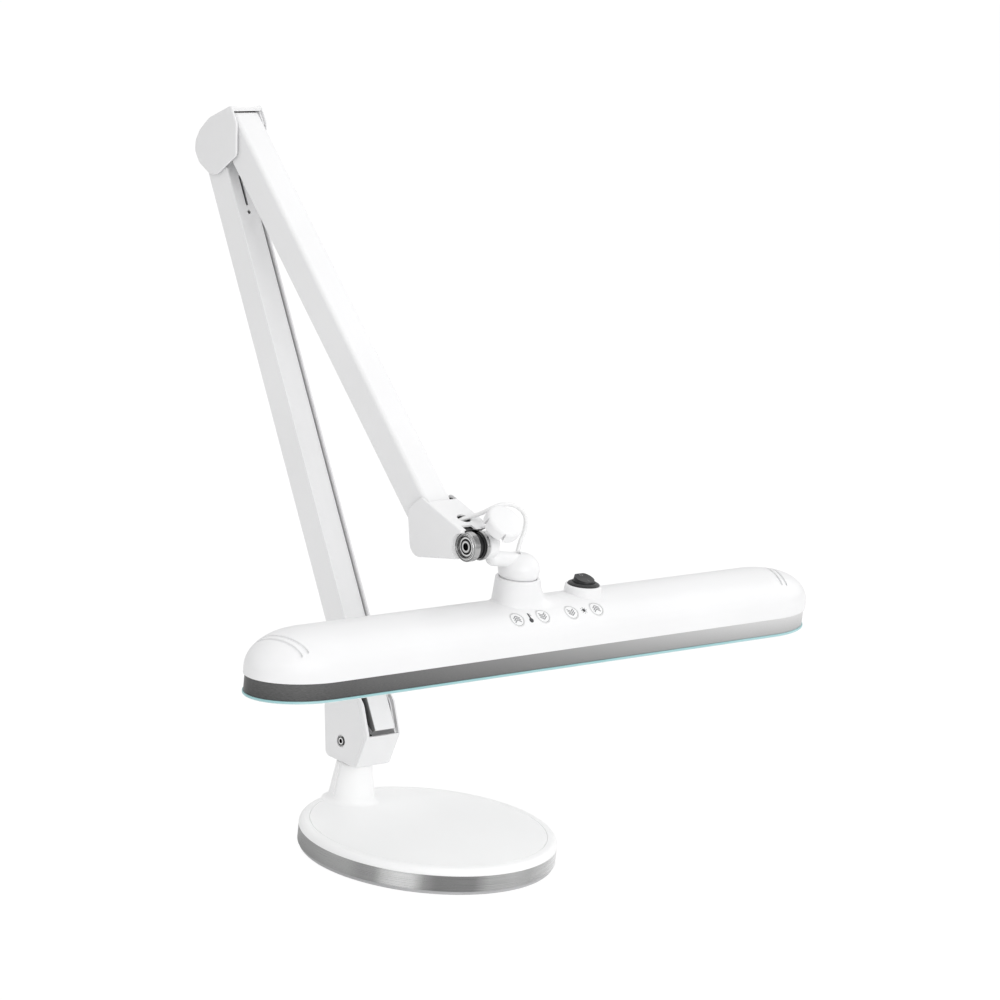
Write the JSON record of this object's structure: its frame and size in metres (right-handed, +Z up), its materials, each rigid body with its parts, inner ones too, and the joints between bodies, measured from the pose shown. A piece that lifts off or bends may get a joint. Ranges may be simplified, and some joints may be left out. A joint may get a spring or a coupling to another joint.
{
  "type": "led work lamp",
  "caption": "Swing-arm LED work lamp: round weighted base, two sprung parallel-link arms, friction knuckle and a long bar head with a dimmer panel.",
  "frame": {"origin": "centre of the underside of the round base, on the table", "axes": "+Z up, +X along the long head to the user's right, -Y towards the user"},
  "size_m": [0.537, 0.4015, 0.5066],
  "materials": {
    "white_plastic": "satin moulded white",
    "white_paint": "white powder coat",
    "brushed_steel": "brushed round the rim",
    "steel": "zinc plated",
    "chrome": "polished",
    "cast_iron": "rough cast",
    "rubber": "matt",
    "black_plastic": "satin black",
    "nylon": "natural",
    "aluminium": "satin",
    "diffuser": "opal",
    "circuit_board": "white solder mask",
    "cord": "white sheath"
  },
  "bodies": {
    "base": {"base_pad": "rubber", "base_trim_band": "brushed_steel", "base_weight": "cast_iron", "base_cover": "white_plastic", "base_screws": "steel", "post_tube": "steel", "post_bush": "nylon", "thrust_washer": "black_plastic"},
    "turntable": {"swivel_pin": "steel", "pin_circlip": "steel", "pin_nut": "steel", "bracket_cradle": "steel", "bracket_cover": "white_plastic", "bracket_screws": "steel", "bracket_pins": "steel"},
    "lower_arm": {"lower_arm_channel": "white_paint", "lower_spring_anchor": "steel"},
    "lower_link": {"lower_inner_channel": "white_paint", "lower_spring": "steel"},
    "elbow": {"elbow_plates": "steel", "elbow_pins": "steel", "elbow_cover": "white_plastic"},
    "upper_arm": {"upper_arm_channel": "white_paint", "upper_spring_anchor": "steel"},
    "upper_link": {"upper_inner_channel": "white_paint", "upper_spring": "steel"},
    "head_bracket": {"head_bracket_fork": "steel", "head_bracket_pins": "steel", "head_bracket_cover": "white_plastic", "nose_plug": "black_plastic", "barrel_front": "chrome", "barrel_rear": "chrome", "friction_rings": "black_plastic", "knuckle_bolt": "chrome"},
    "swivel": {"swivel_elbow": "white_plastic", "swivel_tube": "steel", "swivel_nut": "steel", "head_cord": "cord"},
    "clamp_knob": {"tension_knob": "white_plastic", "knob_stud": "steel"},
    "head": {"head_shell": "white_plastic", "neck_bush": "nylon", "light_frame": "aluminium", "diffuser": "diffuser", "heat_plate": "aluminium", "led_board": "circuit_board", "led_chips": "circuit_board", "head_screws": "steel", "led_driver": "black_plastic", "switch_body": "black_plastic", "control_board": "circuit_board", "key_switches": "black_plastic"},
    "rocker": {"rocker": "black_plastic"},
    "button_1": {"button_1": "white_plastic"},
    "button_2": {"button_2": "white_plastic"},
    "button_3": {"button_3": "white_plastic"},
    "button_4": {"button_4": "white_plastic"}
  },
  "joints": [
    {"name": "base_swivel", "type": "hinge", "parent": "base", "child": "turntable", "pos_m": [-0.01437, 0.07259, 0.04], "axis": [0, 0, 1], "continuous": true},
    {"name": "lower_arm_pitch", "type": "hinge", "parent": "turntable", "child": "lower_arm", "pos_m": [-0.01437, 0.07059, 0.0965], "axis": [-1, 0, 0], "range_deg": [-41.4, 9]},
    {"name": "lower_link_pitch", "type": "hinge", "parent": "turntable", "child": "lower_link", "pos_m": [-0.01437, 0.06105, 0.09951], "axis": [-1, 0, 0], "range_deg": [-41.4, 9]},
    {"name": "elbow_level", "type": "hinge", "parent": "lower_arm", "child": "elbow", "pos_m": [-0.01437, 0.29463, 0.46353], "axis": [1, 0, 0], "range_deg": [-41.4, 9]},
    {"name": "upper_arm_pitch", "type": "hinge", "parent": "elbow", "child": "upper_arm", "pos_m": [-0.01437, 0.26643, 0.49613], "axis": [-1, 0, 0], "range_deg": [-10, 52.6]},
    {"name": "upper_link_pitch", "type": "hinge", "parent": "elbow", "child": "upper_link", "pos_m": [-0.01437, 0.27041, 0.48696], "axis": [-1, 0, 0], "range_deg": [-10, 52.6]},
    {"name": "head_bracket_level", "type": "hinge", "parent": "upper_arm", "child": "head_bracket", "pos_m": [-0.01437, 0.00143, 0.25245], "axis": [1, 0, 0], "range_deg": [-10, 52.6]},
    {"name": "head_tilt", "type": "hinge", "parent": "head_bracket", "child": "swivel", "pos_m": [-0.01437, -0.03587, 0.24235], "axis": [1, 0, 0], "range_deg": [-35, 35], "deforming": ["head_cord"]},
    {"name": "knob_turn", "type": "hinge", "parent": "swivel", "child": "clamp_knob", "pos_m": [-0.00447, -0.05065, 0.26126], "axis": [0, -0.6157, 0.788], "continuous": true},
    {"name": "head_swivel", "type": "hinge", "parent": "swivel", "child": "head", "pos_m": [0.02913, -0.03587, 0.21275], "axis": [0, 0, 1], "range_deg": [-45, 45]},
    {"name": "rocker_tilt", "type": "hinge", "parent": "head", "child": "rocker", "pos_m": [0.09533, -0.03587, 0.20295], "axis": [-1, 0, 0], "range_deg": [0, 12]},
    {"name": "button_1_press", "type": "slide", "parent": "head", "child": "button_1", "axis": [0, 0.6, -0.8], "range_m": [0, 0.0006], "stiffness_N_per_m": 400},
    {"name": "button_2_press", "type": "slide", "parent": "head", "child": "button_2", "axis": [0, 0.6, -0.8], "range_m": [0, 0.0006], "stiffness_N_per_m": 400},
    {"name": "button_3_press", "type": "slide", "parent": "head", "child": "button_3", "axis": [0, 0.6, -0.8], "range_m": [0, 0.0006], "stiffness_N_per_m": 400},
    {"name": "button_4_press", "type": "slide", "parent": "head", "child": "button_4", "axis": [0, 0.6, -0.8], "range_m": [0, 0.0006], "stiffness_N_per_m": 400}
  ],
  "couplings": [
    {"joint": "lower_link_pitch", "follows": "lower_arm_pitch", "ratio": 1},
    {"joint": "elbow_level", "follows": "lower_arm_pitch", "ratio": 1},
    {"joint": "upper_link_pitch", "follows": "upper_arm_pitch", "ratio": 1},
    {"joint": "head_bracket_level", "follows": "upper_arm_pitch", "ratio": 1}
  ]
}
